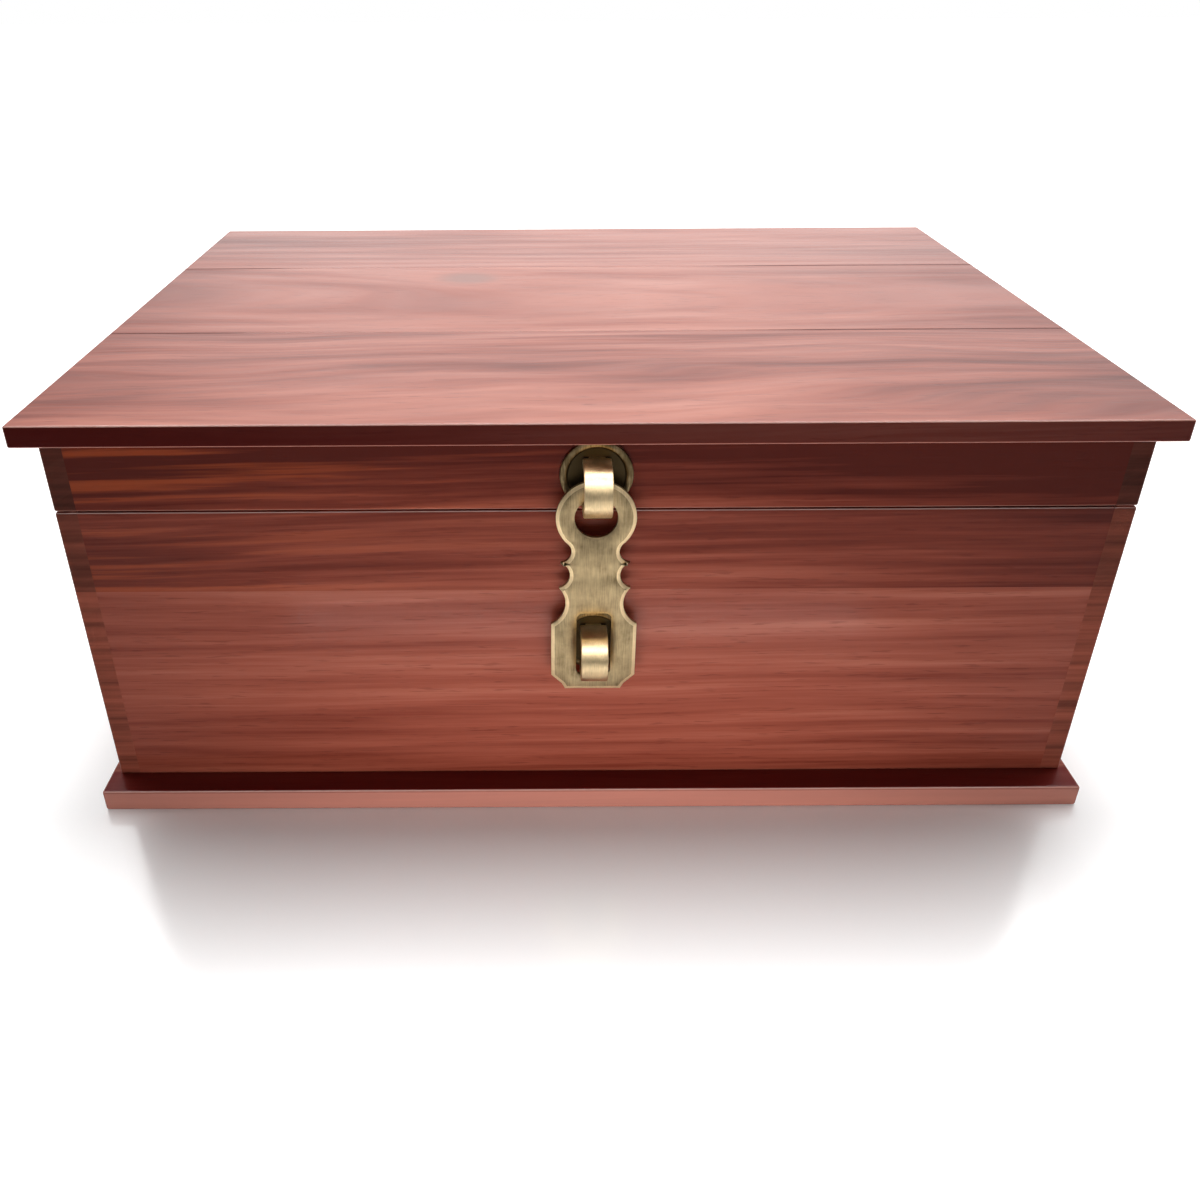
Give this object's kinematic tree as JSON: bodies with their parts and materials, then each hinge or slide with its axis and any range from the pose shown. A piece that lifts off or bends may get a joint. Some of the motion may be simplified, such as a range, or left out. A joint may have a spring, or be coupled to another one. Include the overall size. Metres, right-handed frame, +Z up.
{
  "type": "hasped wooden money box",
  "caption": "Stained wooden chest with an overhanging hinged lid, a base that stands out, and a brass hasp that drops over a staple for a padlock.",
  "frame": {"origin": "on the underside of the base, below the middle of the walls", "axes": "+Z up, +Y from the hasp side to the hinge side, +X to the right seen from the hasp side"},
  "size_m": [0.4, 0.3215, 0.1635],
  "materials": {
    "stained_pine": "red-brown stain under a glossy varnish",
    "antique_brass": "antique brass, worn bright on the edges",
    "steel_screw": "plain zinc plated"
  },
  "bodies": {
    "box": {"back_wall_lower": "stained_pine", "back_wall_upper": "stained_pine", "base_plank_front": "stained_pine", "base_plank_middle": "stained_pine", "base_plank_rear": "stained_pine", "base_screws": "steel_screw", "front_wall_lower": "stained_pine", "front_wall_upper": "stained_pine", "hinge_box_screws": "antique_brass", "hinge_left_box_leaf": "antique_brass", "hinge_left_pin": "antique_brass", "hinge_right_box_leaf": "antique_brass", "hinge_right_pin": "antique_brass", "left_wall_lower": "stained_pine", "left_wall_upper": "stained_pine", "lock_staple": "antique_brass", "lock_staple_plate": "antique_brass", "right_wall_lower": "stained_pine", "right_wall_upper": "stained_pine"},
    "lid": {"hinge_left_lid_leaf": "antique_brass", "hinge_lid_screws": "antique_brass", "hinge_right_lid_leaf": "antique_brass", "lid_back_rail": "stained_pine", "lid_front_rail": "stained_pine", "lid_left_rail": "stained_pine", "lid_right_rail": "stained_pine", "lid_staple": "antique_brass", "lid_staple_plate": "antique_brass", "top_plank_front": "stained_pine", "top_plank_middle": "stained_pine", "top_plank_rear": "stained_pine"},
    "hasp": {"hasp_plate": "antique_brass"}
  },
  "joints": [
    {"name": "lid_hinge", "type": "hinge", "parent": "box", "child": "lid", "pos_m": [0, 0.1505, 0.12825], "axis": [-1, 0, 0], "range_deg": [0, 175]},
    {"name": "hasp_swing", "type": "hinge", "parent": "lid", "child": "hasp", "pos_m": [0, -0.153, 0.14174], "axis": [-1, 0, 0], "range_deg": [0, 110]}
  ]
}
